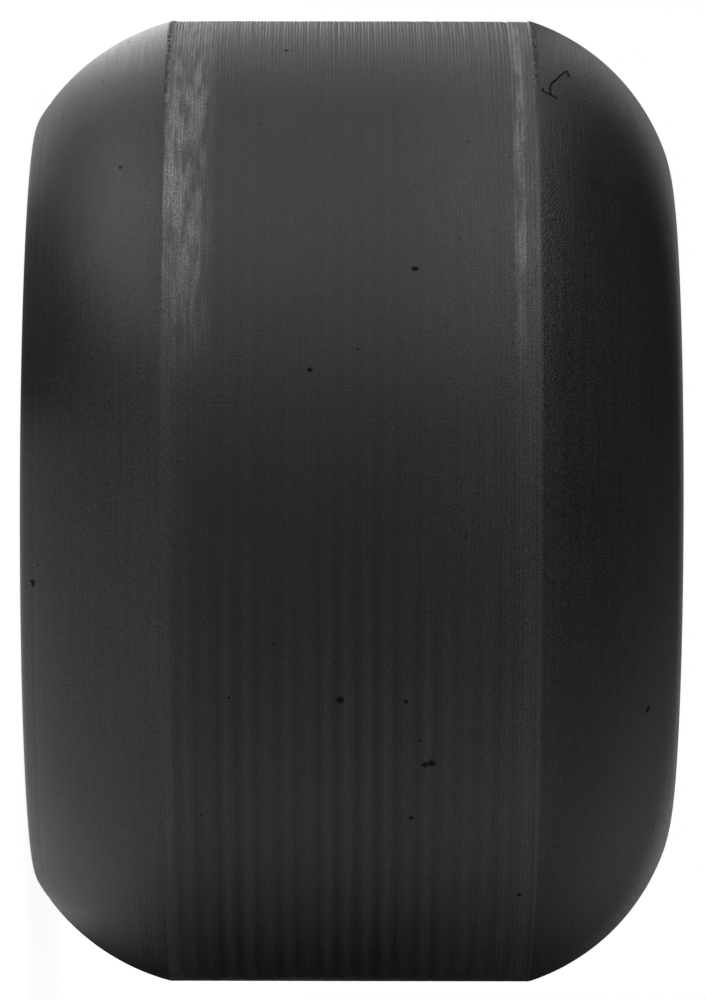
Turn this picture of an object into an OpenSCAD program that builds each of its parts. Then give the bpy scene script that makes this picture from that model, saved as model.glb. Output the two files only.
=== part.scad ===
// Street skateboard wheel with its two shielded ball bearings and the spacer between them.
// It lies on its inboard side. The axle line is Z, outboard is +Z, and the origin is on the
// axle line, halfway between the bearings.

/* [Wheel] */
// Diameter over the running band
wheel_d = 52; // [50:0.5:56]
// Width of the flat running band
tread_w = 19.3; // [17:0.1:22]

/* [Outboard side] */
// Distance from the middle of the wheel to the outboard face
outboard_face = 17.25; // [16.75:0.25:18.5]
// Diameter of the lip where the outboard face meets the shoulder
outboard_lip_d = 35.5; // [34:0.5:40]
// Radius of the rounded outboard shoulder
outboard_shoulder_r = 11.4; // [10:0.1:14]

/* [Inboard side] */
// Distance from the middle of the wheel to the inboard face
inboard_face = 17; // [16.75:0.25:18.5]
// Diameter of the lip where the inboard face meets the shoulder
inboard_lip_d = 40.8; // [36:0.2:44]
// Radius of the rounded inboard shoulder
inboard_shoulder_r = 11.9; // [10:0.1:14]

/* [Hub and dish] */
// Width of the flat rim between the outboard lip and the dish
rim_w = 1.55; // [1:0.05:2]
// Radius of the hollow curve of the dish
dish_curve_r = 9; // [6:0.5:14]
// Height of the hub ring above the bearing's face
hub_proud = 1; // [0.6:0.1:2]
// Width of the flat hub ring between the seat's mouth and the dish
hub_ring_w = 0.7; // [0.3:0.1:1.2]
// Lead-in chamfer at the mouth of each bearing seat
seat_lead = 0.4; // [0.1:0.1:0.5]
// Radial clearance of the bearing in its seat, where 0 is a light press
seat_clearance = 0; // [0:0.005:0.05]
// Diameter of the hole through the web between the seats
web_bore_d = 18; // [16:0.5:19]

/* [Bearing] */
// Bore for the axle
axle_bore_d = 8; // [7:0.1:9]
// Outside diameter
bearing_od = 22; // [21.4:0.2:24]
// Width
bearing_w = 7; // [6.6:0.2:8]
// Diameter of one ball
ball_d = 3.969; // [3.6:0.01:4]
// Number of balls
ball_count = 7; // [6:1:7]
// How much larger the radius of the race grooves is than a ball's
race_ease = 0.12; // [0.08:0.01:0.2]
// Radial clearance between a ball and each race
race_clearance = 0.015; // [0.01:0.005:0.05]
// Radial space between the two rings beside the balls
ring_space = 2.9; // [2.5:0.1:3.1]
// Chamfer on the rings' outer edges and in the bore
ring_chamfer = 0.3; // [0.1:0.05:0.5]
// Small break on the rings' inner edges
land_chamfer = 0.15; // [0.05:0.05:0.25]

/* [Ball cage] */
// Radial clearance between the cage and each land
cage_clearance = 0.4; // [0.2:0.05:0.6]
// Thickness of the cage's closed back behind the balls
cage_back = 0.8; // [0.5:0.1:1]
// Height of the prongs above the ball centres
prong_top = 1; // [0.6:0.1:1.2]
// Thickness of one prong where it is narrowest
prong_w = 0.7; // [0.5:0.05:0.9]
// Depth of the slot between two prongs, below the ball centres
slot_depth = 0.5; // [0.2:0.1:0.8]
// Clearance of a ball in its pocket
pocket_clearance = 0.08; // [0.05:0.01:0.12]

/* [Shield] */
// Sheet thickness
shield_t = 0.35; // [0.25:0.05:0.45]
// Width of the outer ring's rim round the recess that the shield sits in
recess_rim_w = 1.4; // [1.1:0.05:1.5]
// Depth of the recess below the ring's face
recess_depth = 1.15; // [1.1:0.05:1.3]
// Radial clearance of the shield in the recess
shield_fit = 0.05; // [0.02:0.01:0.1]
// Radial gap between the shield and the inner ring
shield_gap = 0.2; // [0.1:0.05:0.4]
// Height of the step pressed into the shield
shield_step = 0.3; // [0.15:0.05:0.35]
// Width of the shield's flat rim
shield_rim_w = 0.8; // [0.6:0.1:1.2]

/* [Snap ring] */
// Wire diameter
wire_d = 0.45; // [0.3:0.05:0.5]
// How far the wire reaches into its groove
wire_bite = 0.12; // [0.06:0.02:0.16]
// Clearance of the wire in its groove
wire_clearance = 0.02; // [0.01:0.01:0.04]
// Angle that the wire leaves open
wire_gap = 16; // [8:1:40]

/* [Spacer] */
// Distance between the two bearings
bearing_gap = 10; // [9:0.5:11]
// Outside diameter
spacer_od = 11; // [10:0.1:12]
// How much larger the radius of the spacer's bore is than the bearings'
spacer_clearance = 0.02; // [0.01:0.01:0.05]
// Play between the spacer and the outboard inner ring
spacer_play = 0.05; // [0.02:0.01:0.1]
// Chamfer on the spacer's edges
spacer_chamfer = 0.3; // [0.1:0.1:0.4]

/* [Hidden] */
SIDES = ["outboard", "inboard"];
BALLS = [for (side = SIDES, i = [1 : ball_count]) str(side, "_ball_", i)];

$fn = 128;
// How far a cut runs past the surface that it opens
past = 1;
// How far two pieces of one section lap
lap = 0.25;
wheel_r = wheel_d / 2;
axle_r = axle_bore_d / 2;
seat_r = bearing_od / 2 + seat_clearance;
bearing_z = (bearing_gap + bearing_w) / 2;
bearing_face = bearing_gap / 2 + bearing_w;
hub_face = bearing_face + hub_proud;
hub_r = seat_r + seat_lead + hub_ring_w;
dish_r = outboard_lip_d / 2 - rim_w;

ball_r = ball_d / 2;
// The ball centres lie halfway between the bore and the outside
pitch_r = (axle_bore_d + bearing_od) / 4;
race_r = ball_r + race_ease;
inner_land_r = pitch_r - ring_space / 2;
outer_land_r = pitch_r + ring_space / 2;
pocket_r = ball_r + pocket_clearance;
// What is left between two neighbouring pockets, less the two prongs that stand there
slot_w = 2 * pitch_r * sin(180 / ball_count) - 2 * pocket_r - 2 * prong_w;

recess_r = bearing_od / 2 - recess_rim_w;
recess_floor = bearing_w / 2 - recess_depth;
shield_r = recess_r - shield_fit;
shield_hole_r = inner_land_r + shield_gap;
wire_r = wire_d / 2;
wire_ring_r = recess_r - wire_r + wire_bite;
wire_z = recess_floor + shield_t + wire_r;

URETHANE = "#262626";
STEEL = "#b9bbbd";
NYLON = "#e6e2d6";
SHIELD = "#8d9093";

// Centre of the arc of radius r from p to q, on the side to the right of that direction
function arc_centre(p, q, r) =
    let (half = (q - p) / 2, back = sqrt(r * r - half * half) / norm(half))
    p + half + back * [half.y, -half.x];

// Pieces are drawn as the outboard bearing has them, about the middle of the bearing
module on_side(side) {
    mirror([0, 0, side == "inboard" ? 1 : 0]) translate([0, 0, bearing_z]) children();
}

module box2(r0, r1, z0, z1) {
    translate([r0, z0]) square([r1 - r0, z1 - z0]);
}

// Corner cut of a section at (r, z), where dr and dz point out of the material
module corner_cut(r, z, size, dr, dz) {
    translate([r, z]) scale([dr, dz])
        polygon([[-size, past], [-size, 0], [0, -size], [past, -size], [past, past]]);
}

// Half of the casting's outline above the middle plane, up to one side face
module shoulder_section(face, lip_r, shoulder_r) {
    centre = arc_centre([lip_r, face], [wheel_r, tread_w / 2], shoulder_r);
    intersection() {
        box2(0, wheel_r, -past, face);
        union() {
            box2(0, wheel_r, -past, tread_w / 2 - lap);
            box2(0, lip_r - lap, -past, face);
            translate(centre) circle(r = shoulder_r);
        }
    }
}

// The dish, the hub ring and the bearing seat that one side is hollowed by
module side_hollow(face) {
    centre = arc_centre([dish_r, face], [hub_r, hub_face], dish_curve_r);
    intersection() {
        box2(0, wheel_r, hub_face, face + past);
        union() {
            translate(centre) circle(r = dish_curve_r);
            box2(0, hub_r - hub_ring_w / 2, hub_face, face + past);
        }
    }
    box2(0, seat_r, bearing_gap / 2, hub_face + past);
    polygon([
        [0, hub_face - seat_lead],
        [seat_r, hub_face - seat_lead],
        [seat_r + seat_lead, hub_face],
        [seat_r + seat_lead, hub_face + lap],
        [0, hub_face + lap]
    ]);
}

module wheel_body() {
    color(URETHANE) rotate_extrude() difference() {
        union() {
            shoulder_section(outboard_face, outboard_lip_d / 2, outboard_shoulder_r);
            mirror([0, 1]) shoulder_section(inboard_face, inboard_lip_d / 2, inboard_shoulder_r);
        }
        side_hollow(outboard_face);
        mirror([0, 1]) side_hollow(inboard_face);
        box2(0, web_bore_d / 2, -bearing_gap, bearing_gap);
    }
}

module bearing_spacer() {
    bore_r = axle_r + spacer_clearance;
    bottom = -bearing_gap / 2;
    top = bearing_gap / 2 - spacer_play;
    color(STEEL) rotate_extrude() difference() {
        box2(bore_r, spacer_od / 2, bottom, top);
        corner_cut(spacer_od / 2, top, spacer_chamfer, 1, 1);
        corner_cut(spacer_od / 2, bottom, spacer_chamfer, 1, -1);
        corner_cut(bore_r, top, spacer_chamfer, -1, 1);
        corner_cut(bore_r, bottom, spacer_chamfer, -1, -1);
    }
}

// The ring is the same both ways round, so its open side has a recess and a groove as well
module outer_ring() {
    half = bearing_w / 2;
    outer_r = bearing_od / 2;
    color(STEEL) rotate_extrude() difference() {
        box2(outer_land_r, outer_r, -half, half);
        translate([pitch_r + ball_r + race_clearance - race_r, 0]) circle(r = race_r);
        for (s = [-1, 1]) {
            corner_cut(outer_r, s * half, ring_chamfer, 1, s);
            scale([1, s]) box2(0, recess_r, recess_floor, half + past);
            translate([wire_ring_r, s * wire_z]) circle(r = wire_r + wire_clearance);
        }
    }
}

module inner_ring() {
    half = bearing_w / 2;
    color(STEEL) rotate_extrude() difference() {
        box2(axle_r, inner_land_r, -half, half);
        translate([pitch_r - ball_r - race_clearance + race_r, 0]) circle(r = race_r);
        for (s = [-1, 1]) {
            corner_cut(axle_r, s * half, ring_chamfer, -1, s);
            corner_cut(inner_land_r, s * half, land_chamfer, 1, s);
        }
    }
}

// Crown cage: a closed back, with two prongs that snap round each ball
module ball_cage() {
    inside_r = inner_land_r + cage_clearance;
    outside_r = outer_land_r - cage_clearance;
    back = -pocket_r - cage_back;
    color(NYLON) difference() {
        rotate_extrude() box2(inside_r, outside_r, back, prong_top);
        for (i = [0 : ball_count - 1]) rotate(360 / ball_count * i) {
            translate([pitch_r, 0, 0]) sphere(r = pocket_r);
            rotate(180 / ball_count) translate([0, 0, slot_w / 2 - slot_depth]) {
                rotate([0, 90, 0]) cylinder(d = slot_w, h = outer_land_r);
                translate([0, -slot_w / 2, 0]) cube([outer_land_r, slot_w, prong_top + slot_depth + past]);
            }
        }
    }
}

module ball(i) {
    color(STEEL) rotate(360 / ball_count * (i - 1)) translate([pitch_r, 0, 0]) sphere(r = ball_r);
}

// Pressed sheet ring with a flat rim, a sloping step and a raised middle
module shield() {
    step_r = shield_r - shield_rim_w;
    color(SHIELD) rotate_extrude() translate([0, recess_floor]) polygon([
        [shield_r, 0],
        [shield_r, shield_t],
        [step_r, shield_t],
        [step_r - shield_step, shield_t + shield_step],
        [shield_hole_r, shield_t + shield_step],
        [shield_hole_r, shield_step],
        [step_r - shield_step - shield_t / 2, shield_step],
        [step_r - shield_t / 2, 0]
    ]);
}

module snap_ring() {
    color(STEEL) rotate(wire_gap / 2) rotate_extrude(angle = 360 - wire_gap)
        translate([wire_ring_r, wire_z]) circle(r = wire_r);
}

wheel_body();
bearing_spacer();
on_side("outboard") outer_ring();  // outboard_outer_ring
on_side("outboard") inner_ring();  // outboard_inner_ring
on_side("outboard") ball_cage();  // outboard_ball_cage
on_side("outboard") shield();  // outboard_shield
on_side("outboard") snap_ring();  // outboard_snap_ring
on_side("inboard") outer_ring();  // inboard_outer_ring
on_side("inboard") inner_ring();  // inboard_inner_ring
on_side("inboard") ball_cage();  // inboard_ball_cage
on_side("inboard") shield();  // inboard_shield
on_side("inboard") snap_ring();  // inboard_snap_ring
for (side = SIDES, i = [1 : ball_count])
    on_side(side) ball(i);
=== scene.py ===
import math
from collections import namedtuple

import bpy
import numpy as np
from mathutils import Matrix, Vector


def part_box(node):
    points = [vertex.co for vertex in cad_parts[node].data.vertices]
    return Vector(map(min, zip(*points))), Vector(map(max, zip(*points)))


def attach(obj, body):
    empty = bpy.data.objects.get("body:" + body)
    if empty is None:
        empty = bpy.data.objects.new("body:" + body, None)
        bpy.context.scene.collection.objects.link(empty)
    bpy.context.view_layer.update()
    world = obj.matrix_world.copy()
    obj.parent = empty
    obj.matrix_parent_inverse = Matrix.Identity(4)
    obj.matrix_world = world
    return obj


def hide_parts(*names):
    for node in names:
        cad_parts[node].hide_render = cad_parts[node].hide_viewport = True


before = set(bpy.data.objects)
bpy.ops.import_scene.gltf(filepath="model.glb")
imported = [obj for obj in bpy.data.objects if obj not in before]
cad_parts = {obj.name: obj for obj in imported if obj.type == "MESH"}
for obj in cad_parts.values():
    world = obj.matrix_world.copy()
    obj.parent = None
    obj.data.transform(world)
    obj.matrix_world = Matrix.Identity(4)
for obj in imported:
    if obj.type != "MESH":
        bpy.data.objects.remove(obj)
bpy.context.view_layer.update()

# Everything is in metres, in the CAD frame: the axle line is Z, and the inboard side lies on the floor
MM = 0.001

# Outline of the wheel body, which the high-resolution piece shares with the CAD node. The seats take
# their size and place from the bearings' outer rings
Side = namedtuple("Side", "face lip_r shoulder_r lip_round groove_r")
WHEEL_LOW, WHEEL_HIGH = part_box("wheel_body")
RING_LOW, RING_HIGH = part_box("outboard_outer_ring")
WHEEL_R = WHEEL_HIGH.x
TREAD_HALF = 9.65 * MM
OUTBOARD = Side(WHEEL_HIGH.z, 17.75 * MM, 11.4 * MM, 1.0 * MM, None)
INBOARD = Side(-WHEEL_LOW.z, 20.4 * MM, 11.9 * MM, 0.5 * MM, 21.56 * MM)
RIM_W = 1.55 * MM
DISH_R = OUTBOARD.lip_r - RIM_W
DISH_CURVE_R = 9.0 * MM
SEAT_R = RING_HIGH.x
SEAT_FLOOR = RING_LOW.z
SEAT_LEAD = 0.4 * MM
HUB_RING_W = 0.7 * MM
HUB_R = SEAT_R + SEAT_LEAD + HUB_RING_W
HUB_PROUD = 1.0 * MM
HUB_FACE = RING_HIGH.z + HUB_PROUD
WEB_R = 9.0 * MM

# Scribed line near the inboard lip, and how far below the face the shoulder starts for it
GROOVE_DEPTH = 0.03 * MM
GROOVE_HALF_W = 0.06 * MM
FACE_MARGIN = 0.1 * MM

# How far the rounding of each corner reaches
CORNER = 0.12 * MM
DISH_ROUND = 0.2 * MM
HUB_ROUND = 0.12 * MM
SEAT_ROUND = 0.08 * MM
SEAT_FLOOR_ROUND = 0.1 * MM

# How far from the tread's edge the ridges and the tread itself end, for that rounding
RIDGES_END = 1.2 * CORNER
TREAD_END = 1.1 * CORNER

# Straight steps in the outline's stretches and in its roundings
SHOULDER_STEPS, RIM_STEPS, DISH_STEPS, SEAT_STEPS = 48, 4, 14, 2
ROUND_STEPS, LIP_ROUND_STEPS, SEAT_ROUND_STEPS = 4, 6, 2

# Turning ridges on the tread, coarser beside the outboard edge and deeper beside both
SEGMENTS = 180
RIDGE_SEED = 11
RIDGE_COUNT = 112
ROWS_A_RIDGE = 3
PITCH_SPREAD = 0.2
COARSE_RIDGES, COARSE_PITCH = 10, 1.4
RIDGE_DEPTH = 0.004 * MM
BAND_DEPTH = 0.006 * MM
BAND_W = 2.0 * MM
BAND_FADE = 0.3 * BAND_W
CREST_LOSS = 0.35
HOLLOW_SPREAD = 0.25

# The stretch of the circumference where the ridges are deepest: how much deeper, how unevenly, and its
# centre, half width and soft ends in degrees from the camera's side
DEEPER = 9.0
DEEP_SPREAD = 0.4
DEEP_AT, DEEP_HALF, DEEP_END = 90.0, 10.0, 22.0

# The slow wave that the tool's feed left across the ridges
FEED = 1.02 * MM
FEED_START = -0.18 * MM
FEED_DEPTH = 0.006 * MM
FEED_CRESTS = 64
FEED_LEAST = 0.3

# Depth below the tread at which the tread's finish ends, how many corner reaches the torn edge spans,
# and the depth beyond which a corner isn't at the tread
TREAD_FADE = 0.012 * MM
TORN_REACH = 1.6
TREAD_MARGIN = 1.0 * MM

# Camera, which looks across the axle line, and the photograph's frame in pixels
CAMERA_DISTANCE = 370 * MM
CAMERA_ACROSS = 0.09 * MM
CAMERA_UP = 0.054 * MM
CAMERA_ROLL = 0.0018
LENS_MM = 245.4
SENSOR_MM = 36.0
IMAGE_W, IMAGE_H = 705, 1000

# Search for the surface that a pixel shows: where it starts, a little before the wheel, how often it
# halves the error, and the steps in the shoulder that it looks in
SEARCH_FROM = CAMERA_DISTANCE - 1.1 * WHEEL_R
HALVINGS = 24
SEARCH_STEPS = 200

FLOOR_Z = WHEEL_LOW.z - 0.02 * MM
FLOOR_SIZE = 4.0


def toward(azimuth, elevation):
    """Unit vector at an elevation and at an azimuth from the camera's side towards the picture's top."""
    azimuth, elevation = math.radians(azimuth), math.radians(elevation)
    level = math.cos(elevation)
    return Vector((-math.sin(azimuth) * level, -math.cos(azimuth) * level, math.sin(elevation)))


def arc(p, q, radius, steps):
    """Points from p to q on the arc whose centre lies to the right of that direction."""
    p, q = np.array(p), np.array(q)
    half = (q - p) / 2
    back = math.sqrt(radius**2 - half @ half) / math.sqrt(half @ half)
    centre = p + half + back * np.array([half[1], -half[0]])
    start, end = (math.atan2(v[1], v[0]) for v in (p - centre, q - centre))
    turn = (end - start + math.pi) % (2 * math.pi) - math.pi
    angles = start + turn * np.linspace(0, 1, steps + 1)
    return centre + radius * np.column_stack([np.cos(angles), np.sin(angles)])


def line(p, q, steps=1):
    """Evenly spaced points from p to q."""
    return np.linspace(np.array(p), np.array(q), steps + 1)


def join_rounded(first, second, reach, steps=ROUND_STEPS):
    """Two stretches that meet at a corner, which is rounded off over reach on both sides of it."""
    corner = first[-1]
    first = first[np.linalg.norm(first - corner, axis=1) > reach]
    second = second[np.linalg.norm(second - corner, axis=1) > reach]
    a, b = (corner + (p - corner) / np.linalg.norm(p - corner) * reach for p in (first[-1], second[0]))
    t = np.linspace(0, 1, steps + 1)[:, None]
    bend = (1 - t) ** 2 * a + 2 * t * (1 - t) * corner + t**2 * b
    return np.vstack([first, bend, second])


def shoulder_arc(side, steps=SHOULDER_STEPS):
    """A side's shoulder from the tread's edge to the lip."""
    return arc((side.lip_r, side.face), (WHEEL_R, TREAD_HALF), side.shoulder_r, steps)[::-1]


def side_outline(side):
    """One side's outline from the tread's edge over the shoulder and down to the web, as (r, z) rows."""
    lip, dish = (side.lip_r, side.face), (DISH_R, side.face)
    hub, mouth = (HUB_R, HUB_FACE), (SEAT_R + SEAT_LEAD, HUB_FACE)
    throat, floor = (SEAT_R, HUB_FACE - SEAT_LEAD), (SEAT_R, SEAT_FLOOR)
    tread_end = line((WHEEL_R, TREAD_HALF - TREAD_END), (WHEEL_R, TREAD_HALF))
    outline = join_rounded(tread_end, shoulder_arc(side), CORNER)
    outline = join_rounded(outline, line(lip, dish, RIM_STEPS), side.lip_round, LIP_ROUND_STEPS)
    outline = join_rounded(outline, arc(dish, hub, DISH_CURVE_R, DISH_STEPS), DISH_ROUND)
    outline = join_rounded(outline, line(hub, mouth), HUB_ROUND)
    outline = join_rounded(outline, line(mouth, throat), SEAT_ROUND, SEAT_ROUND_STEPS)
    outline = join_rounded(outline, line(throat, floor, SEAT_STEPS), SEAT_ROUND, SEAT_ROUND_STEPS)
    return join_rounded(outline, line(floor, (WEB_R, SEAT_FLOOR)), SEAT_FLOOR_ROUND, SEAT_ROUND_STEPS)


def groove_depth(points, side):
    """Depth of the fine scribed line that runs round near a lip."""
    if side.groove_r is None:
        return np.zeros(len(points))
    on_shoulder = points[:, 1] < side.face - FACE_MARGIN
    away = (points[:, 0] - side.groove_r) / GROOVE_HALF_W
    return on_shoulder * GROOVE_DEPTH * np.exp(-(away**2))


def linked(name, data):
    """A new object with that data, in the scene."""
    made = bpy.data.objects.new(name, data)
    bpy.context.scene.collection.objects.link(made)
    return made


def smooth_noise(rng, shape, passes):
    """Random values from -1 to 1 that change smoothly round the wheel, with no seam."""
    values = rng.uniform(-1, 1, shape)
    for _ in range(passes):
        values = (values + np.roll(values, 1, axis=1) + np.roll(values, -1, axis=1)) / 3
    return values / np.abs(values).max()


def ridge_heights(rng):
    """Height of each row of the tread, its ridge, and its share of hollow between two crests."""
    pitch = rng.uniform(1 - PITCH_SPREAD, 1 + PITCH_SPREAD, RIDGE_COUNT)
    pitch[-COARSE_RIDGES:] *= COARSE_PITCH
    crests = np.concatenate([[0], np.cumsum(pitch)]) / pitch.sum()
    share = np.arange(ROWS_A_RIDGE) / ROWS_A_RIDGE
    rows = crests[:-1, None] + pitch[:, None] / pitch.sum() * share
    z = (rows * 2 - 1) * (TREAD_HALF - RIDGES_END)
    ridge = np.repeat(np.arange(RIDGE_COUNT), ROWS_A_RIDGE)
    hollow = np.tile(1 - (2 * share - 1) ** 2, RIDGE_COUNT)
    return z.ravel()[1:], ridge[1:], hollow[1:]


def feed_wave(rng, z):
    """Share of feed crest at each height, from 0 to 1."""
    turns = (z - FEED_START) / FEED
    size = rng.uniform(FEED_LEAST, 1.0, FEED_CRESTS)[np.round(turns).astype(int) + FEED_CRESTS // 2]
    return 0.5 + 0.5 * size * np.cos(2 * math.pi * turns)


def deep_share():
    """1 at the segments where the ridges are deepest and 0 elsewhere, with soft ends."""
    azimuth = -90 - np.arange(SEGMENTS) / SEGMENTS * 360
    away = np.abs((azimuth - DEEP_AT + 180) % 360 - 180)
    return np.clip((DEEP_HALF + DEEP_END - away) / DEEP_END, 0, 1)


def tread_rows():
    """The tread's rows: height, depth at each segment, share of hollow, and share of feed crest."""
    rng = np.random.default_rng(RIDGE_SEED)
    z, ridge, hollow = ridge_heights(rng)
    feed = feed_wave(rng, z)
    edge = np.clip((np.abs(z) - (TREAD_HALF - BAND_W)) / BAND_FADE, 0, 1)
    depth = RIDGE_DEPTH + (BAND_DEPTH - RIDGE_DEPTH) * edge
    crest_loss = CREST_LOSS * (1 + smooth_noise(rng, (RIDGE_COUNT, SEGMENTS), 2))[ridge]
    hollow_noise = smooth_noise(rng, (RIDGE_COUNT, SEGMENTS), 3)[ridge]
    hollow_change = 1 - HOLLOW_SPREAD + HOLLOW_SPREAD * hollow_noise
    share_lost = np.where(hollow[:, None] > 0, hollow[:, None] * hollow_change, crest_loss)
    ridge_size = rng.uniform(1 - DEEP_SPREAD, 1 + DEEP_SPREAD, RIDGE_COUNT)[ridge]
    share_lost *= 1 + DEEPER * ridge_size[:, None] * deep_share()
    return z, depth[:, None] * share_lost + FEED_DEPTH * (1 - feed[:, None]), hollow, feed


def turned_mesh(name, radii, heights, attributes):
    """A closed mesh turned about Z: radii are rows by segments, and attributes have a value a row."""
    rows, segments = radii.shape
    angle = np.arange(segments) / segments * 2 * math.pi
    z = np.repeat(heights[:, None], segments, axis=1)
    points = np.stack([radii * np.cos(angle), radii * np.sin(angle), z], axis=-1).reshape(-1, 3)
    i, j = np.meshgrid(np.arange(rows), np.arange(segments), indexing="ij")
    i_next, j_next = (i + 1) % rows, (j + 1) % segments
    faces = np.stack([i * segments + j, i * segments + j_next,
                      i_next * segments + j_next, i_next * segments + j], axis=-1).reshape(-1, 4)
    mesh = bpy.data.meshes.new(name)
    mesh.from_pydata(points.tolist(), [], faces.tolist())
    mesh.shade_smooth()
    for key, values in attributes.items():
        layer = mesh.attributes.new(key, "FLOAT", "POINT")
        layer.data.foreach_set("value", np.repeat(values, segments).astype(np.float32))
    return linked(name, mesh)


def wheel_body():
    """The casting: ridged tread, shoulders, dished faces and bearing seats as one turned mesh."""
    tread_z, tread_depth, hollow, feed = tread_rows()
    tread = np.column_stack([np.full(len(tread_z), WHEEL_R), tread_z])
    sides = []
    for side in (OUTBOARD, INBOARD):
        points = side_outline(side)
        points[:, 0] -= groove_depth(points, side)
        sides.append(points)
    lower = sides[1][::-1] * (1, -1)
    outline = np.vstack([tread, sides[0], lower])
    radii = np.repeat(outline[:, :1], SEGMENTS, axis=1)
    radii[:len(tread)] -= tread_depth
    step = np.linalg.norm(np.diff(outline, axis=0), axis=1)
    rest = len(outline) - len(tread)
    near_edge = np.abs(np.abs(outline[:, 1]) - TREAD_HALF) / CORNER
    attributes = {
        "run": np.concatenate([[0], np.cumsum(step)]),
        "tread": np.clip(1 - (WHEEL_R - outline[:, 0]) / TREAD_FADE, 0, 1),
        "corner": np.clip(TORN_REACH - near_edge, 0, 1) * (outline[:, 0] > WHEEL_R - TREAD_MARGIN),
        "hollow": np.concatenate([hollow, np.zeros(rest)]),
        "feed": np.concatenate([feed, np.full(rest, 0.5)]),
    }
    return turned_mesh("urethane_body", radii, outline[:, 1], attributes)


def outside_radius(height):
    """Radius of the wheel's outside at a height."""
    if abs(height) <= TREAD_HALF:
        return WHEEL_R
    side = OUTBOARD if height > 0 else INBOARD
    shoulder = shoulder_arc(side, SEARCH_STEPS)
    return float(np.interp(abs(height), shoulder[:, 1], shoulder[:, 0]))


def camera_place():
    """The camera's matrix: it looks across the axle line, with +Z to the right and -X up."""
    right, up, back = Vector((0, 0, 1)), Vector((-1, 0, 0)), Vector((0, -1, 0))
    turn = Matrix((right, up, back)).transposed().to_4x4() @ Matrix.Rotation(CAMERA_ROLL, 4, "Z")
    spot = back * CAMERA_DISTANCE + right * CAMERA_ACROSS + up * CAMERA_UP
    return Matrix.Translation(spot) @ turn


def seen_at(pixel, sink=0.0):
    """Point of the wheel's outside that the camera sees at a pixel, moved inwards by sink."""
    camera = camera_place()
    focus = LENS_MM / SENSOR_MM * IMAGE_H
    right, up = (pixel.column - IMAGE_W / 2) / focus, (IMAGE_H / 2 - pixel.row) / focus
    ray = camera.to_3x3() @ Vector((right, up, -1))
    near, far = SEARCH_FROM, CAMERA_DISTANCE
    for _ in range(HALVINGS):
        middle = (near + far) / 2
        point = camera.translation + ray * middle
        if math.hypot(point.x, point.y) > outside_radius(point.z):
            near = middle
        else:
            far = middle
    kept = 1 - sink / math.hypot(point.x, point.y)
    return Vector((point.x * kept, point.y * kept, point.z))


# Fibre that sticks to the outboard shoulder: the pixels that its two strands pass, read off the
# enlarged photograph, its thickness and how deep its middle lies
Pixel = namedtuple("Pixel", "column row")
LINT_FORK = Pixel(550.9, 94.7)
LINT_STRANDS = [
    [Pixel(542.8, 88.5), Pixel(543.7, 91.9), LINT_FORK, Pixel(557.6, 98.6)],
    [LINT_FORK, Pixel(550, 89), Pixel(550.9, 82.8), Pixel(554.3, 80.9), Pixel(561.4, 74.2),
     Pixel(566.2, 70.8), Pixel(567.7, 72.2), Pixel(569.1, 76.1)],
]
LINT_D = 0.12 * MM
LINT_SINK = 0.02 * MM


def lint():
    """The fibre as a thin tube along its strands, partly sunk in the surface."""
    curve = bpy.data.curves.new("lint", "CURVE")
    curve.dimensions = "3D"
    curve.bevel_depth = LINT_D / 2
    curve.bevel_resolution = 2
    curve.use_fill_caps = True
    for strand in LINT_STRANDS:
        spline = curve.splines.new("POLY")
        spline.points.add(len(strand) - 1)
        for point, pixel in zip(spline.points, strand):
            point.co = (*seen_at(pixel, LINT_SINK), 1)
    return linked("lint", curve)


# Shader nodes
def plug(tree, socket, value):
    """Links value to the socket if it is another node's output, and sets the socket to it otherwise."""
    if isinstance(value, bpy.types.NodeSocket):
        tree.links.new(value, socket)
    else:
        socket.default_value = value


def node(tree, kind, inputs=(), **settings):
    """A new node with its settings, and its inputs fed by name or by place."""
    made = tree.nodes.new("ShaderNode" + kind)
    for key, value in settings.items():
        setattr(made, key, value)
    for key, value in inputs.items() if isinstance(inputs, dict) else enumerate(inputs):
        plug(tree, made.inputs[key], value)
    return made


def calc(tree, operation, *values):
    """Output of a Math node."""
    return node(tree, "Math", values, operation=operation).outputs[0]


def ramp(tree, value, low, high, out_low=0.0, out_high=1.0):
    """value mapped from low..high to out_low..out_high, smoothly and clamped."""
    made = node(tree, "MapRange", [value, low, high, out_low, out_high], interpolation_type="SMOOTHSTEP")
    return made.outputs[0]


def place(tree):
    """Position in the piece's own frame, in metres."""
    return node(tree, "TexCoord").outputs["Object"]


def attribute(tree, name):
    """A value that the mesh carries."""
    return node(tree, "Attribute", attribute_name=name).outputs["Fac"]


def product(tree, first, *others):
    """Output of Math nodes that multiply all the values."""
    for other in others:
        first = calc(tree, "MULTIPLY", first, other)
    return first


def dot(tree, vector, direction):
    """How far the vector goes in a fixed direction."""
    made = node(tree, "VectorMath", [vector, tuple(direction)], operation="DOT_PRODUCT")
    return made.outputs["Value"]


def distance(tree, vector, spot):
    """How far the vector ends from a fixed spot."""
    made = node(tree, "VectorMath", [vector, tuple(spot)], operation="DISTANCE")
    return made.outputs["Value"]


def grey_colour(tree, grey):
    """The colour with that grey in each channel."""
    return node(tree, "CombineXYZ", [grey, grey, grey]).outputs[0]


def noise(tree, vector, detail=2.0, rough=0.5):
    """Noise from 0 to 1 at the scale that the vector already has."""
    made = node(tree, "TexNoise", {"Vector": vector, "Scale": 1.0, "Detail": detail, "Roughness": rough})
    return made.outputs["Fac"]


def scaled(tree, vector, scale):
    """vector times a number."""
    return node(tree, "VectorMath", [vector, (scale,) * 3], operation="MULTIPLY").outputs[0]


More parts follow.
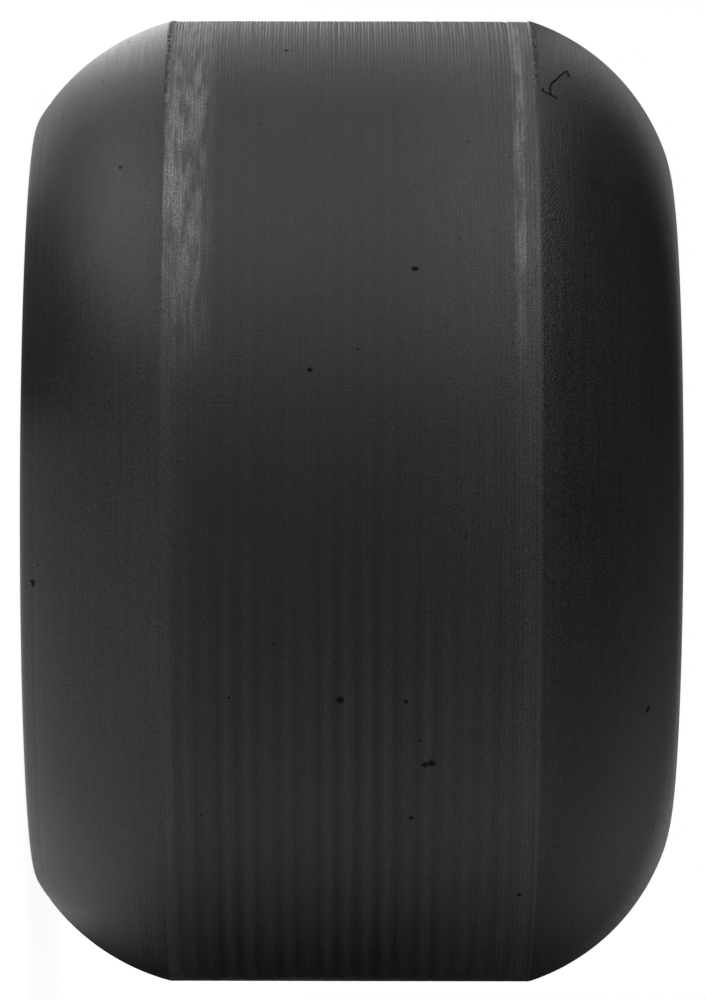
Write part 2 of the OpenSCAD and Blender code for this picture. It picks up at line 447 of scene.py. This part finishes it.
def turned(tree, lines, run):
    """Noise from 0 to 1 in lines that run round the axle."""
    parts = node(tree, "SeparateXYZ", [place(tree)])
    x, y = (calc(tree, "MULTIPLY", parts.outputs[i], lines.around) for i in (0, 1))
    vector = node(tree, "CombineXYZ", [x, y, calc(tree, "MULTIPLY", run, lines.across)]).outputs[0]
    return noise(tree, vector, lines.detail, lines.rough)


def marked(tree, marks, run):
    """Marks that run round the axle, from their least value to their most."""
    return ramp(tree, turned(tree, marks.lines, run), marks.low, marks.high, marks.least, marks.most)


def bump(tree, height, distance, normal=None):
    """Normal bent by a height from 0 to 1, where 1 stands out by distance."""
    inputs = {"Height": height, "Distance": distance, "Strength": 1.0}
    if normal is not None:
        inputs["Normal"] = normal
    return node(tree, "Bump", inputs).outputs[0]


def new_material(name):
    """An empty node material, with its tree and its Principled shader linked to the output."""
    material = bpy.data.materials.new(name)
    material.use_nodes = True
    tree = material.node_tree
    tree.nodes.clear()
    shader = node(tree, "BsdfPrincipled")
    tree.links.new(shader.outputs[0], node(tree, "OutputMaterial").inputs["Surface"])
    return material, tree, shader


def paint(tree, shader, **inputs):
    """Feeds the Principled shader's sockets, with _ for a space in their names."""
    for key, value in inputs.items():
        plug(tree, shader.inputs[key.replace("_", " ")], value)


# Dark grains and pits: the pixels where the camera sees them, read off the photograph, and
# their radius
Speck = namedtuple("Speck", "column row radius")
SPECKS = [
    Speck(340, 700, 0.27 * MM),
    Speck(406, 702, 0.18 * MM),
    Speck(425, 765, 0.22 * MM),
    Speck(431, 763, 0.26 * MM),
    Speck(411, 818, 0.16 * MM),
    Speck(415, 268, 0.18 * MM),
    Speck(310, 370, 0.16 * MM),
    Speck(33, 583, 0.26 * MM),
    Speck(648, 709, 0.26 * MM),
    Speck(519, 895, 0.16 * MM),
    Speck(159, 938, 0.14 * MM),
    Speck(161, 952, 0.2 * MM),
    Speck(147, 47, 0.1 * MM),
    Speck(129, 42, 0.14 * MM),
    Speck(103, 81, 0.1 * MM),
    Speck(74, 95, 0.08 * MM),
    Speck(62, 118, 0.1 * MM),
    Speck(120, 167, 0.14 * MM),
    Speck(286, 50, 0.16 * MM),
    Speck(264, 21, 0.12 * MM),
    Speck(668, 168, 0.14 * MM),
    Speck(668, 800, 0.1 * MM),
    Speck(665, 821, 0.14 * MM),
]

# Finer grains, scattered all round: their radius, and the size of the cells that hold one each
FINE_GRAIN_R = 0.1 * MM
FINE_GRAIN_CELL = 2.6 * MM

# How far the grains' edges wander and how fast a metre, and where they fade, as shares of the radius
RAGGED = 0.24 * MM
RAGGED_SCALE = 4000.0
SPECK_CORE, SPECK_EDGE = 0.5, 1.05


def speck_mask(tree):
    """1 on the dark grains and 0 elsewhere, with ragged edges."""
    wander = node(tree, "TexNoise", {"Vector": place(tree), "Scale": RAGGED_SCALE, "Detail": 1.0})
    shift = node(tree, "VectorMath", [wander.outputs["Color"], (-0.5,) * 3], operation="ADD").outputs[0]
    shift = scaled(tree, shift, RAGGED)
    spot = node(tree, "VectorMath", [shift, place(tree)], operation="ADD").outputs[0]
    cells = node(tree, "TexVoronoi", {"Vector": spot, "Scale": 1 / FINE_GRAIN_CELL})
    nearest = calc(tree, "MULTIPLY", cells.outputs["Distance"], FINE_GRAIN_CELL / FINE_GRAIN_R)
    for speck in SPECKS:
        gap = calc(tree, "DIVIDE", distance(tree, spot, seen_at(speck)), speck.radius)
        nearest = calc(tree, "MINIMUM", nearest, gap)
    return ramp(tree, nearest, SPECK_CORE, SPECK_EDGE, 1.0, 0.0)


# Greys of the turned tread and of the moulded skin beside it
TREAD_GREY = 0.009
SKIN_GREY = 0.014

# Wear on the tread: the height where it starts, where it is full, and the grey that it adds
# in the scuffs and all round
Wear = namedtuple("Wear", "start full scuff dust")
WEAR = [
    Wear(-6.8 * MM, -8.1 * MM, 0.06, 0.002),
    Wear(-8.2 * MM, -9.3 * MM, 0.0, 0.008),
    Wear(1.0 * MM, 8.0 * MM, 0.006, 0.007),
    Wear(8.2 * MM, 8.6 * MM, 0.055, 0.006),
    Wear(8.8 * MM, 9.1 * MM, -0.045, 0.0),
]

# Stretches of the circumference that differ from the rest: the centre, half width and length of the
# soft ends, in degrees from the camera's side
Stretch = namedtuple("Stretch", "centre half end")
SCUFFED = [Stretch(60, 32, 16), Stretch(170, 20, 20), Stretch(235, 16, 20)]
# Painted highlight: paler ridge crests on this stretch
HIGHLIGHTED_CRESTS = [Stretch(92, 12, 30)]
CLEAR_FEED = [Stretch(-44, 20, 24), Stretch(150, 20, 30)]
# Ragged tread edges, darkened partly by burr nicks and partly by painted shade along the edge
NICKED_SHADED_EDGES = [Stretch(82, 20, 20), Stretch(210, 20, 20)]
# Painted highlight: pale fine streaks over the shoulders on this stretch
GLINT_STRETCH = [Stretch(88, 16, 16)]

# Lines of noise: how fast it changes a metre around and across them, its detail and its roughness.
# Marks take the noise from low to high as values from least to most
Lines = namedtuple("Lines", "around across detail rough")
Marks = namedtuple("Marks", "lines low high least most")
SCUFF_DASHES = Marks(Lines(420.0, 2800.0, 2.5, 0.5), 0.3, 0.7, 0.2, 1.35)
CREST_CHANGE = Marks(Lines(700.0, 7000.0, 1.0, 0.5), 0.3, 0.7, 0.6, 1.0)
# Lines of the painted highlight on the shoulders
GLINT_LINES = Marks(Lines(120.0, 5000.0, 3.0, 0.7), 0.42, 0.7, 0.0, 0.08)
TORN_NICKS = Marks(Lines(2600.0, 7000.0, 2.0, 0.5), 0.35, 0.6, 0.1, 0.7)
STREAKS = Lines(150.0, 6500.0, 3.0, 0.6)
METAL_LINES = Lines(120.0, 14000.0, 3.0, 0.6)

# How fast the other patterns change a metre
MOTTLE_SCALE = 260.0
GRAIN_SCALE = 14000.0
SMUDGE_SCALE = 350.0
NYLON_GRAIN_SCALE = 6000.0
NYLON_CLOUD_SCALE = 400.0
LINT_SCALE = 5000.0

# Strength of the patterns: greys that are added, shares by which the grey changes, and bump depths
# Painted highlight on the ridge crests
CREST_HIGHLIGHT_GREY = 0.045
# Heights where the painted highlight on the shoulders starts and is full
GLINT_FROM, GLINT_TO = 9.8 * MM, 11.5 * MM
FEED_SHARE = 0.3
MOTTLE_SHARE = 0.4
STREAK_SHARE = 0.8
GRAIN_SHARE = 3.0
# Painted shade: the ridge hollows are darker and the crests paler
HOLLOW_SHADE_SHARE = -0.4
SPECK_SHARE = -0.9
STREAK_DEPTH = 0.01 * MM
GRAIN_DEPTH = 0.03 * MM

# Roughness of the skin, and what the tread, the streaks and the specks add to it
SKIN_ROUGH = 0.25
TREAD_ROUGH = 0.14
STREAK_ROUGH = 0.1
SPECK_ROUGH = 0.6


def stretches(tree, places):
    """1 on the given stretches of the circumference and 0 elsewhere."""
    level = None
    for stretch in places:
        along = dot(tree, place(tree), toward(stretch.centre, 0) / WHEEL_R)
        outer = math.cos(math.radians(stretch.half + stretch.end))
        inner = math.cos(math.radians(stretch.half - stretch.end / 2))
        part = ramp(tree, along, outer, inner)
        level = part if level is None else calc(tree, "MAXIMUM", level, part)
    return level


def scuffs(tree, run):
    """Grey that wear adds to the tread: dust all round, and soft dashes along the turning lines."""
    height = node(tree, "SeparateXYZ", [place(tree)]).outputs[2]
    scuffed = product(tree, stretches(tree, SCUFFED), marked(tree, SCUFF_DASHES, run))
    grey = 0.0
    for wear in WEAR:
        full = calc(tree, "MULTIPLY_ADD", scuffed, wear.scuff, wear.dust)
        grey = calc(tree, "MULTIPLY_ADD", ramp(tree, height, wear.start, wear.full), full, grey)
    return grey


def crests(tree, run):
    """Painted highlight: grey that ridge crests add on the stretch where the turning lines are sharpest.
    """
    crest = calc(tree, "SUBTRACT", 1.0, attribute(tree, "hollow"))
    uneven = marked(tree, CREST_CHANGE, run)
    return product(tree, crest, uneven, CREST_HIGHLIGHT_GREY, stretches(tree, HIGHLIGHTED_CRESTS))


def shoulder_glints(tree, run):
    """Painted highlight: pale fine streaks along the turning lines, over the shoulders beside the
    sharpest turning lines.
    """
    height = calc(tree, "ABSOLUTE", node(tree, "SeparateXYZ", [place(tree)]).outputs[2])
    beside = ramp(tree, height, GLINT_FROM, GLINT_TO)
    return product(tree, marked(tree, GLINT_LINES, run), beside, stretches(tree, GLINT_STRETCH))


def nicks_and_edge_shade(tree, run):
    """High in the nicks along the tread's torn edges, and 0 elsewhere. It darkens the edges partly as
    burr nicks and partly as painted shade along the edge.
    """
    nicks = marked(tree, TORN_NICKS, run)
    return product(tree, attribute(tree, "corner"), stretches(tree, NICKED_SHADED_EDGES), nicks)


def vary(tree, tone, value, share):
    """tone changed by a value from 0 to 1, up to half that share both ways."""
    return calc(tree, "MULTIPLY", tone, calc(tree, "MULTIPLY_ADD", value, share, 1 - share / 2))


def base_grey(tree, run, tread):
    """The urethane's grey with its feed lines and wear, and painted highlights on ridge crests and
    shoulder streaks, before the finer patterns.
    """
    grey = calc(tree, "MULTIPLY_ADD", tread, TREAD_GREY - SKIN_GREY, SKIN_GREY)
    crest = calc(tree, "SUBTRACT", attribute(tree, "feed"), 0.5)
    clear = calc(tree, "ADD", stretches(tree, CLEAR_FEED), FEED_SHARE)
    grey = calc(tree, "MULTIPLY", grey, calc(tree, "MULTIPLY_ADD", crest, clear, 1.0))
    # Wear, with the painted highlight on the ridge crests
    wear = calc(tree, "ADD", scuffs(tree, run), crests(tree, run))
    grey = calc(tree, "MULTIPLY_ADD", tread, wear, grey)
    # Painted highlight of the streaks over the shoulders
    return calc(tree, "ADD", grey, shoulder_glints(tree, run))


def urethane():
    """Black urethane: matt and ridged on the tread, satin with turning lines on the shoulders."""
    material, tree, shader = new_material("urethane")
    run, tread = attribute(tree, "run"), attribute(tree, "tread")
    streaks = turned(tree, STREAKS, run)
    grain = noise(tree, scaled(tree, place(tree), GRAIN_SCALE), 1.0)
    grey = base_grey(tree, run, tread)
    grey = vary(tree, grey, noise(tree, scaled(tree, place(tree), MOTTLE_SCALE), 3.0), MOTTLE_SHARE)
    grey = vary(tree, grey, streaks, STREAK_SHARE)
    grey = vary(tree, grey, grain, GRAIN_SHARE)
    # Painted shade in the ridge hollows, with paler crests
    grey = vary(tree, grey, attribute(tree, "hollow"), HOLLOW_SHADE_SHARE)
    # Dark grains, and the torn edges' nicks with painted shade along them
    specks_and_edge_shade = calc(tree, "MAXIMUM", speck_mask(tree), nicks_and_edge_shade(tree, run))
    grey = calc(tree, "MULTIPLY", grey, calc(tree, "MULTIPLY_ADD", specks_and_edge_shade, SPECK_SHARE, 1.0))
    rough = calc(tree, "MULTIPLY_ADD", tread, TREAD_ROUGH, SKIN_ROUGH)
    rough = calc(tree, "MULTIPLY_ADD", streaks, STREAK_ROUGH, rough)
    rough = calc(tree, "MULTIPLY_ADD", specks_and_edge_shade, SPECK_ROUGH, rough)
    lines = bump(tree, streaks, STREAK_DEPTH)
    paint(tree, shader, Base_Color=grey_colour(tree, grey), Roughness=rough, IOR=1.5,
          Specular_IOR_Level=0.25, Normal=bump(tree, grain, GRAIN_DEPTH, lines))
    return material


# Metals: material name, colour, middle roughness, and depth of their lines. Their roughness changes by
# up to half of LINE_ROUGH and of SMUDGE_ROUGH both ways
Metal = namedtuple("Metal", "name colour rough depth")
GROUND = Metal("ground_steel", (0.62, 0.63, 0.64), 0.2, 0.002 * MM)
POLISHED = Metal("polished_steel", (0.62, 0.63, 0.64), 0.08, 0.0002 * MM)
SHEET = Metal("shield_steel", (0.55, 0.56, 0.57), 0.3, 0.004 * MM)
WIRE = Metal("spring_wire", (0.36, 0.37, 0.38), 0.26, 0.001 * MM)
ALUMINIUM = Metal("spacer_aluminium", (0.72, 0.73, 0.75), 0.26, 0.005 * MM)
LINE_ROUGH = 0.16
SMUDGE_ROUGH = 0.12

# Cream nylon: its two tones, its grain, and how deep light goes in
NYLON_DARK = (0.72, 0.69, 0.58, 1)
NYLON_PALE = (0.8, 0.78, 0.69, 1)
NYLON_ROUGH, NYLON_GRAIN_ROUGH = 0.38, 0.15
NYLON_GRAIN_DEPTH = 0.004 * MM
NYLON_GLOW_DEPTH = 1.0 * MM

# Lint: its least grey, and what its noise adds
LINT_GREY, LINT_CHANGE = 0.002, 0.004


def turned_metal(metal):
    """Metal with fine turning or grinding lines round the axle."""
    material, tree, shader = new_material(metal.name)
    parts = node(tree, "SeparateXYZ", [place(tree)])
    x, y, z = parts.outputs
    radius = calc(tree, "SQRT", calc(tree, "MULTIPLY_ADD", x, x, calc(tree, "MULTIPLY", y, y)))
    lines = turned(tree, METAL_LINES, calc(tree, "ADD", radius, z))
    smudge = noise(tree, scaled(tree, place(tree), SMUDGE_SCALE))
    rough = calc(tree, "MULTIPLY_ADD", lines, LINE_ROUGH, metal.rough - LINE_ROUGH / 2)
    rough = calc(tree, "ADD", rough, calc(tree, "MULTIPLY_ADD", smudge, SMUDGE_ROUGH, -SMUDGE_ROUGH / 2))
    paint(tree, shader, Base_Color=(*metal.colour, 1), Metallic=1.0, Roughness=rough,
          Normal=bump(tree, lines, metal.depth))
    return material


def moulded_nylon():
    """Cream nylon of the ball cages, with a faint grain."""
    material, tree, shader = new_material("cage_nylon")
    grain = noise(tree, scaled(tree, place(tree), NYLON_GRAIN_SCALE))
    cloud = noise(tree, scaled(tree, place(tree), NYLON_CLOUD_SCALE))
    tint = node(tree, "Mix", data_type="RGBA")
    plug(tree, tint.inputs["Factor"], cloud)
    plug(tree, tint.inputs["A"], NYLON_DARK)
    plug(tree, tint.inputs["B"], NYLON_PALE)
    rough = calc(tree, "MULTIPLY_ADD", grain, NYLON_GRAIN_ROUGH, NYLON_ROUGH)
    paint(tree, shader, Base_Color=tint.outputs["Result"], Roughness=rough, Subsurface_Weight=0.1,
          Subsurface_Scale=NYLON_GLOW_DEPTH, Normal=bump(tree, grain, NYLON_GRAIN_DEPTH))
    return material


def dark_fibre():
    """Near-black lint."""
    material, tree, shader = new_material("lint")
    change = noise(tree, scaled(tree, place(tree), LINT_SCALE))
    grey = calc(tree, "MULTIPLY_ADD", change, LINT_CHANGE, LINT_GREY)
    paint(tree, shader, Base_Color=grey_colour(tree, grey), Roughness=0.8, Specular_IOR_Level=0.1)
    return material


def dress(obj, material):
    """Gives the object that material alone."""
    obj.data.materials.clear()
    obj.data.materials.append(material)


def dress_bearings():
    """Gives the bearing pieces and the spacer their finishes. They keep their CAD shape."""
    ground, polished, aluminium = turned_metal(GROUND), turned_metal(POLISHED), turned_metal(ALUMINIUM)
    finish = {
        "outer_ring": ground,
        "inner_ring": ground,
        "shield": turned_metal(SHEET),
        "snap_ring": turned_metal(WIRE),
        "ball_cage": moulded_nylon(),
    }
    for name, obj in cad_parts.items():
        kind = name.split("_", 1)[1]
        if name == "bearing_spacer":
            dress(obj, aluminium)
        elif kind in finish:
            dress(obj, finish[kind])
        elif kind.startswith("ball_"):
            dress(obj, polished)


# Lamps: azimuth goes from the camera's side towards the picture's top, elevation up from the floor
LAMP_DISTANCE = 0.9
Lamp = namedtuple("Lamp", "name azimuth elevation width height watts")
LAMPS = [
    Lamp("key", 64, 8, 1.1, 0.25, 4.6),
    Lamp("rear", 120, 8, 0.8, 0.25, 0.3),
    Lamp("low_fill", -77, 8, 0.7, 0.25, 1.6),
    Lamp("front_fill", -11, 16, 1.35, 0.3, 1.7),
    Lamp("overhead", 90, 80, 1.2, 1.2, 0.4),
]


def add_lamp(lamp):
    """A soft rectangular lamp that faces the wheel, out of the camera's sight."""
    direction = toward(lamp.azimuth, lamp.elevation)
    data = bpy.data.lights.new(lamp.name, "AREA")
    data.shape = "RECTANGLE"
    data.size, data.size_y = lamp.width, lamp.height
    data.energy = lamp.watts
    made = linked(lamp.name, data)
    facing = direction.to_track_quat("Z", "Y").to_matrix().to_4x4()
    made.matrix_world = Matrix.Translation(direction * LAMP_DISTANCE) @ facing
    made.visible_camera = False


def seen_directly(tree):
    """The Light Path node, and 1 for rays that look straight at the background, else 0."""
    path = node(tree, "LightPath")
    direct = [path.outputs["Is Camera Ray"], path.outputs["Is Transmission Ray"]]
    return path, calc(tree, "MAXIMUM", *direct)


# Studio that the wheel mirrors, as parts of a unit direction: a white wall towards the picture's top,
# a dim ceiling above the opposite side, and a pale backdrop low behind the wheel, which fades upwards
# and ends a little past straight behind
WALL_SIDE = toward(75, 0)
WALL_FROM, WALL_TO = 0.25, 1.0
WALL_TOP_FROM, WALL_TOP_TO = 0.25, 0.6
CEILING_FROM, CEILING_TO, CEILING = 0.0, -0.8, 0.5
BACKDROP_SIDE = toward(180, 0)
BACKDROP_EDGE, BACKDROP_FULL, BACKDROP = 0.76, 0.81, 0.75
BACKDROP_END_FROM, BACKDROP_END_TO = -0.28, -0.12
BACKDROP_FOOT, BACKDROP_LOW, BACKDROP_TOP = 0.1, 0.2, 0.46
AMBIENT = 0.03


def mirrored_studio(tree):
    """How bright the studio is in each direction, for reflections."""
    direction = node(tree, "TexCoord").outputs["Generated"]
    up = node(tree, "SeparateXYZ", [direction]).outputs[2]
    side = dot(tree, direction, WALL_SIDE)
    high = ramp(tree, up, WALL_TOP_FROM, WALL_TOP_TO)
    wall = product(tree, ramp(tree, side, WALL_FROM, WALL_TO), calc(tree, "SUBTRACT", 1.0, high))
    ceiling = product(tree, ramp(tree, side, CEILING_FROM, CEILING_TO, 0.0, CEILING), high)
    behind = dot(tree, direction, BACKDROP_SIDE)
    across = dot(tree, direction, toward(90, 0))
    backdrop = product(
        tree,
        ramp(tree, behind, BACKDROP_EDGE, BACKDROP_FULL, 0.0, BACKDROP),
        ramp(tree, across, BACKDROP_END_FROM, BACKDROP_END_TO),
        ramp(tree, up, BACKDROP_FOOT, BACKDROP_LOW),
        ramp(tree, up, BACKDROP_LOW, BACKDROP_TOP, 1.0, 0.0),
    )
    return calc(tree, "ADD", calc(tree, "ADD", wall, ceiling), backdrop)


def add_world():
    """White to the camera, the studio in reflections, and a little light from all round."""
    world = bpy.data.worlds.new("studio")
    world.use_nodes = True
    tree = world.node_tree
    tree.nodes.clear()
    path, seen = seen_directly(tree)
    mirrored = product(tree, mirrored_studio(tree), path.outputs["Is Glossy Ray"])
    scattered = calc(tree, "MULTIPLY", path.outputs["Is Diffuse Ray"], AMBIENT)
    level = calc(tree, "MAXIMUM", seen, calc(tree, "MAXIMUM", mirrored, scattered))
    sky = node(tree, "Background", [(1, 1, 1, 1), level])
    tree.links.new(sky.outputs[0], node(tree, "OutputWorld").inputs["Surface"])
    bpy.context.scene.world = world


# Floor: its own colour, and its lift to white for the camera near the wheel and far off
FLOOR_WHITE = 0.8
LIFT_NEAR, LIFT_FAR = 0.88, 1.0
NEAR_R, FAR_R = 35 * MM, 110 * MM

# Painted light: the floor glows for every ray but the camera's, lighting the wheel like a lamp. The glow
# is pale towards the picture's top, with painted shade close to the wheel on that side, and painted
# pools of light
GLOW_SIDE = toward(105, 0)
GLOW_FROM, GLOW_TO, GLOW = -24 * MM, 30 * MM, 0.75
SHADE, SHADE_FROM, SHADE_TO = 0.45, 21 * MM, 29 * MM
SHADE_END_FROM, SHADE_END_TO = 4 * MM, -4 * MM
Pool = namedtuple("Pool", "x y glow radius edge_radius")
POOLS = [
    Pool(27 * MM, -45 * MM, 0.9, 20 * MM, 60 * MM),
    Pool(-26 * MM, -27 * MM, 2.1, 8 * MM, 19 * MM),
    Pool(23 * MM, 0, 0.5, 3 * MM, 7 * MM),
]

# Behind, the glow carries on the backdrop as far as three straight edges, and brightens away from the
# wheel, with painted shade close to it
REAR_SIDE = toward(165, 0)
REAR_FROM, REAR_TO = -14 * MM, -6 * MM
EDGE_SIDE = toward(49, 0)
EDGE_FROM, EDGE_TO = 24 * MM, 20.5 * MM
REAR_END_FROM, REAR_END_TO = 5 * MM, 15 * MM
REAR_NEAR, REAR_NEAR_R = 0.35, 22 * MM
REAR_FAR, REAR_FAR_R = 1.4, 46 * MM


def floor_glow(tree, spot, away):
    """Painted light that the floor glows with at a spot that is that far away from the axle line."""
    along = dot(tree, spot, GLOW_SIDE)
    glow = ramp(tree, along, GLOW_FROM, GLOW_TO, 0.0, GLOW)
    for pool in POOLS:
        gap = distance(tree, spot, (pool.x, pool.y, 0))
        lit = ramp(tree, gap, pool.edge_radius, pool.radius, 0.0, pool.glow)
        glow = calc(tree, "MAXIMUM", glow, lit)
    shade = ramp(tree, away, SHADE_FROM, SHADE_TO, SHADE, 1.0)
    shade = calc(tree, "MAXIMUM", shade, ramp(tree, along, SHADE_END_FROM, SHADE_END_TO))
    rear = dot(tree, spot, REAR_SIDE)
    edge = dot(tree, spot, EDGE_SIDE)
    behind = product(
        tree,
        ramp(tree, rear, REAR_FROM, REAR_TO),
        ramp(tree, edge, EDGE_FROM, EDGE_TO),
        ramp(tree, along, REAR_END_FROM, REAR_END_TO),
        ramp(tree, away, REAR_NEAR_R, REAR_FAR_R, REAR_NEAR, REAR_FAR),
    )
    return calc(tree, "MULTIPLY_ADD", glow, shade, behind)


def floor_material():
    """White to the camera, its glow to all other rays, and its own colour to all but reflections."""
    material, tree, shader = new_material("floor")
    path, seen = seen_directly(tree)
    spot = node(tree, "VectorMath", [place(tree), (1, 1, 0)], operation="MULTIPLY").outputs[0]
    away = node(tree, "VectorMath", [spot], operation="LENGTH").outputs["Value"]
    glow = floor_glow(tree, spot, away)
    lift = ramp(tree, away, NEAR_R, FAR_R, LIFT_NEAR, LIFT_FAR)
    light = calc(tree, "MULTIPLY_ADD", seen, calc(tree, "SUBTRACT", lift, glow), glow)
    white = calc(tree, "MULTIPLY_ADD", path.outputs["Is Glossy Ray"], -FLOOR_WHITE, FLOOR_WHITE)
    paint(tree, shader, Base_Color=grey_colour(tree, white), Roughness=0.9, Specular_IOR_Level=0.0,
          Emission_Color=(1, 1, 1, 1), Emission_Strength=light)
    return material


def add_floor():
    """A pale floor that is white to the camera, keeps the object's shadow, and glows with painted light
    onto the wheel.
    """
    mesh = bpy.data.meshes.new("floor")
    half = FLOOR_SIZE / 2
    corners = [(-half, -half), (half, -half), (half, half), (-half, half)]
    mesh.from_pydata([(x, y, FLOOR_Z) for x, y in corners], [], [(0, 1, 2, 3)])
    floor = linked("floor", mesh)
    dress(floor, floor_material())


def add_camera():
    """The camera, at the photograph's view."""
    data = bpy.data.cameras.new("camera")
    data.lens = LENS_MM
    data.sensor_width = SENSOR_MM
    camera = linked("camera", data)
    camera.matrix_world = camera_place()
    bpy.context.scene.camera = camera


add_camera()
add_world()
add_floor()
for lamp in LAMPS:
    add_lamp(lamp)

body = wheel_body()
dress(body, urethane())
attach(body, "wheel")
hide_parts("wheel_body")

fibre = lint()
dress(fibre, dark_fibre())
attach(fibre, "wheel")

dress_bearings()

bpy.context.scene.view_settings.view_transform = "Standard"
